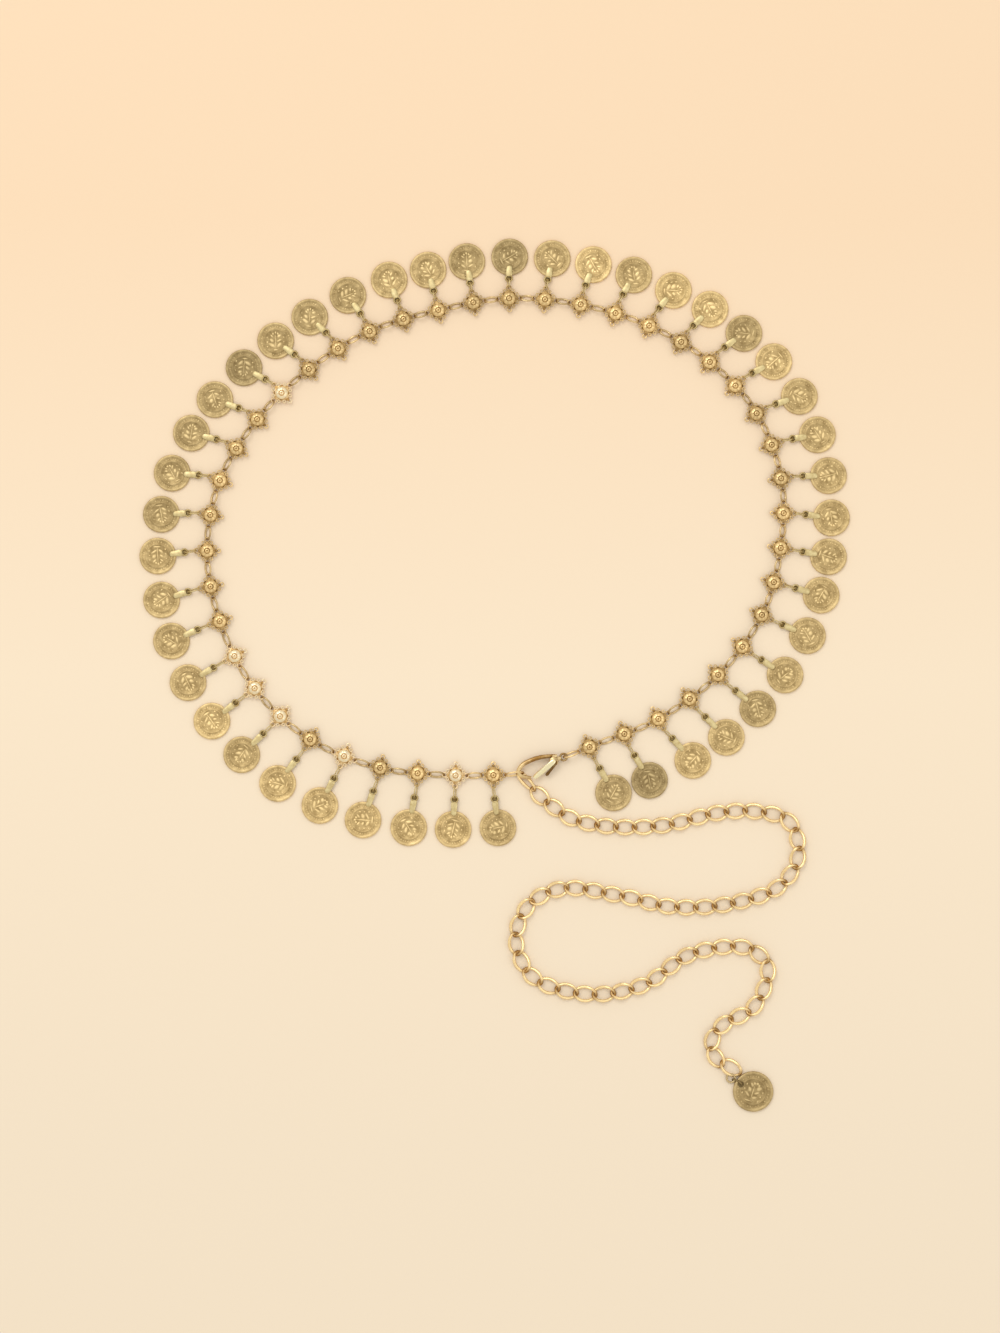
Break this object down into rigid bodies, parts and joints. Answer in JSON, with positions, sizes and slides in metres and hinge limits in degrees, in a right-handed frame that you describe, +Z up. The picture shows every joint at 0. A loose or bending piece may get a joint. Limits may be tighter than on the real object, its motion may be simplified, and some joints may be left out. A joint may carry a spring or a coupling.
{
  "type": "chain belt",
  "caption": "Coin belly chain laid flat in a closed loop: filigree links with coin pendants, lobster clasp and a long curb extender chain.",
  "frame": {"origin": "on the surface that the belt lies on, under the middle of its outline", "axes": "+Z up from the surface, +Y from the clasp side to the far side of the loop, +X to the right in the view from above"},
  "size_m": [0.3068, 0.3778, 0.004],
  "materials": {
    "cast_brass": "antiqued, dark in the recesses and rubbed bright on the beads",
    "coin_brass": "antiqued struck relief with a brighter rim",
    "pale_gold": "bright pale gold plating"
  },
  "bodies": {
    "belt": {"clasp_body": "pale_gold", "link_run_01": "cast_brass", "link_run_02": "cast_brass", "link_run_03": "cast_brass", "link_run_04": "cast_brass", "link_run_05": "cast_brass", "link_run_06": "cast_brass", "link_run_07": "cast_brass", "link_run_08": "cast_brass", "curb_chain_1": "pale_gold", "curb_chain_2": "pale_gold", "curb_chain_3": "pale_gold"},
    "clasp_lever": {"clasp_lever": "pale_gold"},
    "coin_pendant_01": {"coin_pendant_01": "coin_brass"},
    "coin_pendant_02": {"coin_pendant_02": "coin_brass"},
    "coin_pendant_03": {"coin_pendant_03": "coin_brass"},
    "coin_pendant_04": {"coin_pendant_04": "coin_brass"},
    "coin_pendant_05": {"coin_pendant_05": "coin_brass"},
    "coin_pendant_06": {"coin_pendant_06": "coin_brass"},
    "coin_pendant_07": {"coin_pendant_07": "coin_brass"},
    "coin_pendant_08": {"coin_pendant_08": "coin_brass"},
    "coin_pendant_09": {"coin_pendant_09": "coin_brass"},
    "coin_pendant_10": {"coin_pendant_10": "coin_brass"},
    "coin_pendant_11": {"coin_pendant_11": "coin_brass"},
    "coin_pendant_12": {"coin_pendant_12": "coin_brass"},
    "coin_pendant_13": {"coin_pendant_13": "coin_brass"},
    "coin_pendant_14": {"coin_pendant_14": "coin_brass"},
    "coin_pendant_15": {"coin_pendant_15": "coin_brass"},
    "coin_pendant_16": {"coin_pendant_16": "coin_brass"},
    "coin_pendant_17": {"coin_pendant_17": "coin_brass"},
    "coin_pendant_18": {"coin_pendant_18": "coin_brass"},
    "coin_pendant_19": {"coin_pendant_19": "coin_brass"},
    "coin_pendant_20": {"coin_pendant_20": "coin_brass"},
    "coin_pendant_21": {"coin_pendant_21": "coin_brass"},
    "coin_pendant_22": {"coin_pendant_22": "coin_brass"},
    "coin_pendant_23": {"coin_pendant_23": "coin_brass"},
    "coin_pendant_24": {"coin_pendant_24": "coin_brass"},
    "coin_pendant_25": {"coin_pendant_25": "coin_brass"},
    "coin_pendant_26": {"coin_pendant_26": "coin_brass"},
    "coin_pendant_27": {"coin_pendant_27": "coin_brass"},
    "coin_pendant_28": {"coin_pendant_28": "coin_brass"},
    "coin_pendant_29": {"coin_pendant_29": "coin_brass"},
    "coin_pendant_30": {"coin_pendant_30": "coin_brass"},
    "coin_pendant_31": {"coin_pendant_31": "coin_brass"},
    "coin_pendant_32": {"coin_pendant_32": "coin_brass"},
    "coin_pendant_33": {"coin_pendant_33": "coin_brass"},
    "coin_pendant_34": {"coin_pendant_34": "coin_brass"},
    "coin_pendant_35": {"coin_pendant_35": "coin_brass"},
    "coin_pendant_36": {"coin_pendant_36": "coin_brass"},
    "coin_pendant_37": {"coin_pendant_37": "coin_brass"},
    "coin_pendant_38": {"coin_pendant_38": "coin_brass"},
    "coin_pendant_39": {"coin_pendant_39": "coin_brass"},
    "coin_pendant_40": {"coin_pendant_40": "coin_brass"},
    "coin_pendant_41": {"coin_pendant_41": "coin_brass"},
    "coin_pendant_42": {"coin_pendant_42": "coin_brass"},
    "coin_pendant_43": {"coin_pendant_43": "coin_brass"},
    "coin_pendant_44": {"coin_pendant_44": "coin_brass"},
    "end_coin": {"end_coin": "coin_brass"}
  },
  "joints": [
    {"name": "clasp_lever_opens", "type": "hinge", "parent": "belt", "child": "clasp_lever", "pos_m": [0.02553, -0.0368, 0.00235], "axis": [0, 0, -1], "range_deg": [0, 25], "stiffness_Nm_per_rad": 0.002},
    {"name": "coin_pendant_01_swing", "type": "hinge", "parent": "belt", "child": "coin_pendant_01", "pos_m": [0.04314, -0.03591, 0.0016], "axis": [-0.8712, -0.4909, 0], "range_deg": [0, 90]},
    {"name": "coin_pendant_02_swing", "type": "hinge", "parent": "belt", "child": "coin_pendant_02", "pos_m": [0.05802, -0.0303, 0.0016], "axis": [-0.8564, -0.5162, 0], "range_deg": [0, 90]},
    {"name": "coin_pendant_03_swing", "type": "hinge", "parent": "belt", "child": "coin_pendant_03", "pos_m": [0.07345, -0.02345, 0.0016], "axis": [-0.7312, -0.6821, 0], "range_deg": [0, 90]},
    {"name": "coin_pendant_04_swing", "type": "hinge", "parent": "belt", "child": "coin_pendant_04", "pos_m": [0.08758, -0.01443, 0.0016], "axis": [-0.6937, -0.7203, 0], "range_deg": [0, 90]},
    {"name": "coin_pendant_05_swing", "type": "hinge", "parent": "belt", "child": "coin_pendant_05", "pos_m": [0.10049, -0.00348, 0.0016], "axis": [-0.6297, -0.7768, 0], "range_deg": [0, 90]},
    {"name": "coin_pendant_06_swing", "type": "hinge", "parent": "belt", "child": "coin_pendant_06", "pos_m": [0.11153, 0.00932, 0.0016], "axis": [-0.5371, -0.8435, 0], "range_deg": [0, 90]},
    {"name": "coin_pendant_07_swing", "type": "hinge", "parent": "belt", "child": "coin_pendant_07", "pos_m": [0.12045, 0.02391, 0.0016], "axis": [-0.4036, -0.9149, 0], "range_deg": [0, 90]},
    {"name": "coin_pendant_08_swing", "type": "hinge", "parent": "belt", "child": "coin_pendant_08", "pos_m": [0.126, 0.03902, 0.0016], "axis": [-0.2621, -0.965, 0], "range_deg": [0, 90]},
    {"name": "coin_pendant_09_swing", "type": "hinge", "parent": "belt", "child": "coin_pendant_09", "pos_m": [0.12912, 0.05449, 0.0016], "axis": [-0.1906, -0.9817, 0], "range_deg": [0, 90]},
    {"name": "coin_pendant_10_swing", "type": "hinge", "parent": "belt", "child": "coin_pendant_10", "pos_m": [0.13041, 0.0702, 0.0016], "axis": [-0.121, -0.9926, 0], "range_deg": [0, 90]},
    {"name": "coin_pendant_11_swing", "type": "hinge", "parent": "belt", "child": "coin_pendant_11", "pos_m": [0.12923, 0.08629, 0.0016], "axis": [0.0196, -0.9998, 0], "range_deg": [0, 90]},
    {"name": "coin_pendant_12_swing", "type": "hinge", "parent": "belt", "child": "coin_pendant_12", "pos_m": [0.12493, 0.10179, 0.0016], "axis": [0.1668, -0.986, 0], "range_deg": [0, 90]},
    {"name": "coin_pendant_13_swing", "type": "hinge", "parent": "belt", "child": "coin_pendant_13", "pos_m": [0.11792, 0.1163, 0.0016], "axis": [0.314, -0.9494, 0], "range_deg": [0, 90]},
    {"name": "coin_pendant_14_swing", "type": "hinge", "parent": "belt", "child": "coin_pendant_14", "pos_m": [0.10808, 0.12915, 0.0016], "axis": [0.4682, -0.8836, 0], "range_deg": [0, 90]},
    {"name": "coin_pendant_15_swing", "type": "hinge", "parent": "belt", "child": "coin_pendant_15", "pos_m": [0.09648, 0.13994, 0.0016], "axis": [0.5847, -0.8112, 0], "range_deg": [0, 90]},
    {"name": "coin_pendant_16_swing", "type": "hinge", "parent": "belt", "child": "coin_pendant_16", "pos_m": [0.08342, 0.14902, 0.0016], "axis": [0.6995, -0.7147, 0], "range_deg": [0, 90]},
    {"name": "coin_pendant_17_swing", "type": "hinge", "parent": "belt", "child": "coin_pendant_17", "pos_m": [0.06902, 0.15639, 0.0016], "axis": [0.7782, -0.628, 0], "range_deg": [0, 90]},
    {"name": "coin_pendant_18_swing", "type": "hinge", "parent": "belt", "child": "coin_pendant_18", "pos_m": [0.05384, 0.16203, 0.0016], "axis": [0.872, -0.4895, 0], "range_deg": [0, 90]},
    {"name": "coin_pendant_19_swing", "type": "hinge", "parent": "belt", "child": "coin_pendant_19", "pos_m": [0.0382, 0.16591, 0.0016], "axis": [0.9356, -0.3531, 0], "range_deg": [0, 90]},
    {"name": "coin_pendant_20_swing", "type": "hinge", "parent": "belt", "child": "coin_pendant_20", "pos_m": [0.02227, 0.1682, 0.0016], "axis": [0.9776, -0.2105, 0], "range_deg": [0, 90]},
    {"name": "coin_pendant_21_swing", "type": "hinge", "parent": "belt", "child": "coin_pendant_21", "pos_m": [0.00605, 0.16866, 0.0016], "axis": [0.9993, -0.0384, 0], "range_deg": [0, 90]},
    {"name": "coin_pendant_22_swing", "type": "hinge", "parent": "belt", "child": "coin_pendant_22", "pos_m": [-0.01015, 0.16682, 0.0016], "axis": [0.989, 0.1479, 0], "range_deg": [0, 90]},
    {"name": "coin_pendant_23_swing", "type": "hinge", "parent": "belt", "child": "coin_pendant_23", "pos_m": [-0.02565, 0.16346, 0.0016], "axis": [0.9681, 0.2505, 0], "range_deg": [0, 90]},
    {"name": "coin_pendant_24_swing", "type": "hinge", "parent": "belt", "child": "coin_pendant_24", "pos_m": [-0.04094, 0.15951, 0.0016], "axis": [0.9297, 0.3683, 0], "range_deg": [0, 90]},
    {"name": "coin_pendant_25_swing", "type": "hinge", "parent": "belt", "child": "coin_pendant_25", "pos_m": [-0.05628, 0.15398, 0.0016], "axis": [0.8293, 0.5589, 0], "range_deg": [0, 90]},
    {"name": "coin_pendant_26_swing", "type": "hinge", "parent": "belt", "child": "coin_pendant_26", "pos_m": [-0.0706, 0.14618, 0.0016], "axis": [0.6903, 0.7235, 0], "range_deg": [0, 90]},
    {"name": "coin_pendant_27_swing", "type": "hinge", "parent": "belt", "child": "coin_pendant_27", "pos_m": [-0.08371, 0.13686, 0.0016], "axis": [0.5904, 0.8071, 0], "range_deg": [0, 90]},
    {"name": "coin_pendant_28_swing", "type": "hinge", "parent": "belt", "child": "coin_pendant_28", "pos_m": [-0.09587, 0.12635, 0.0016], "axis": [0.4837, 0.8752, 0], "range_deg": [0, 90]},
    {"name": "coin_pendant_29_swing", "type": "hinge", "parent": "belt", "child": "coin_pendant_29", "pos_m": [-0.1069, 0.11441, 0.0016], "axis": [0.3381, 0.9411, 0], "range_deg": [0, 90]},
    {"name": "coin_pendant_30_swing", "type": "hinge", "parent": "belt", "child": "coin_pendant_30", "pos_m": [-0.1163, 0.10125, 0.0016], "axis": [0.2432, 0.97, 0], "range_deg": [0, 90]},
    {"name": "coin_pendant_31_swing", "type": "hinge", "parent": "belt", "child": "coin_pendant_31", "pos_m": [-0.12385, 0.08651, 0.0016], "axis": [0.0742, 0.9972, 0], "range_deg": [0, 90]},
    {"name": "coin_pendant_32_swing", "type": "hinge", "parent": "belt", "child": "coin_pendant_32", "pos_m": [-0.12828, 0.07051, 0.0016], "axis": [-0.0413, 0.9991, 0], "range_deg": [0, 90]},
    {"name": "coin_pendant_33_swing", "type": "hinge", "parent": "belt", "child": "coin_pendant_33", "pos_m": [-0.12974, 0.05407, 0.0016], "axis": [-0.1396, 0.9902, 0], "range_deg": [0, 90]},
    {"name": "coin_pendant_34_swing", "type": "hinge", "parent": "belt", "child": "coin_pendant_34", "pos_m": [-0.12816, 0.03762, 0.0016], "axis": [-0.289, 0.9573, 0], "range_deg": [0, 90]},
    {"name": "coin_pendant_35_swing", "type": "hinge", "parent": "belt", "child": "coin_pendant_35", "pos_m": [-0.12403, 0.02183, 0.0016], "axis": [-0.3964, 0.9181, 0], "range_deg": [0, 90]},
    {"name": "coin_pendant_36_swing", "type": "hinge", "parent": "belt", "child": "coin_pendant_36", "pos_m": [-0.11732, 0.00598, 0.0016], "axis": [-0.5039, 0.8638, 0], "range_deg": [0, 90]},
    {"name": "coin_pendant_37_swing", "type": "hinge", "parent": "belt", "child": "coin_pendant_37", "pos_m": [-0.10809, -0.00871, 0.0016], "axis": [-0.6081, 0.7938, 0], "range_deg": [0, 90]},
    {"name": "coin_pendant_38_swing", "type": "hinge", "parent": "belt", "child": "coin_pendant_38", "pos_m": [-0.09643, -0.02151, 0.0016], "axis": [-0.6971, 0.717, 0], "range_deg": [0, 90]},
    {"name": "coin_pendant_39_swing", "type": "hinge", "parent": "belt", "child": "coin_pendant_39", "pos_m": [-0.08261, -0.03213, 0.0016], "axis": [-0.7894, 0.6139, 0], "range_deg": [0, 90]},
    {"name": "coin_pendant_40_swing", "type": "hinge", "parent": "belt", "child": "coin_pendant_40", "pos_m": [-0.06707, -0.03986, 0.0016], "axis": [-0.8858, 0.4641, 0], "range_deg": [0, 90]},
    {"name": "coin_pendant_41_swing", "type": "hinge", "parent": "belt", "child": "coin_pendant_41", "pos_m": [-0.05074, -0.04508, 0.0016], "axis": [-0.9418, 0.3361, 0], "range_deg": [0, 90]},
    {"name": "coin_pendant_42_swing", "type": "hinge", "parent": "belt", "child": "coin_pendant_42", "pos_m": [-0.03369, -0.04762, 0.0016], "axis": [-0.9824, 0.1866, 0], "range_deg": [0, 90]},
    {"name": "coin_pendant_43_swing", "type": "hinge", "parent": "belt", "child": "coin_pendant_43", "pos_m": [-0.01713, -0.04856, 0.0016], "axis": [-0.999, 0.045, 0], "range_deg": [0, 90]},
    {"name": "coin_pendant_44_swing", "type": "hinge", "parent": "belt", "child": "coin_pendant_44", "pos_m": [-0.00047, -0.04844, 0.0016], "axis": [-0.9939, -0.1106, 0], "range_deg": [0, 90]},
    {"name": "end_coin_swing", "type": "hinge", "parent": "belt", "child": "end_coin", "pos_m": [0.10364, -0.17473, 0.0012], "axis": [-0.515, -0.8572, 0], "range_deg": [0, 90]}
  ]
}
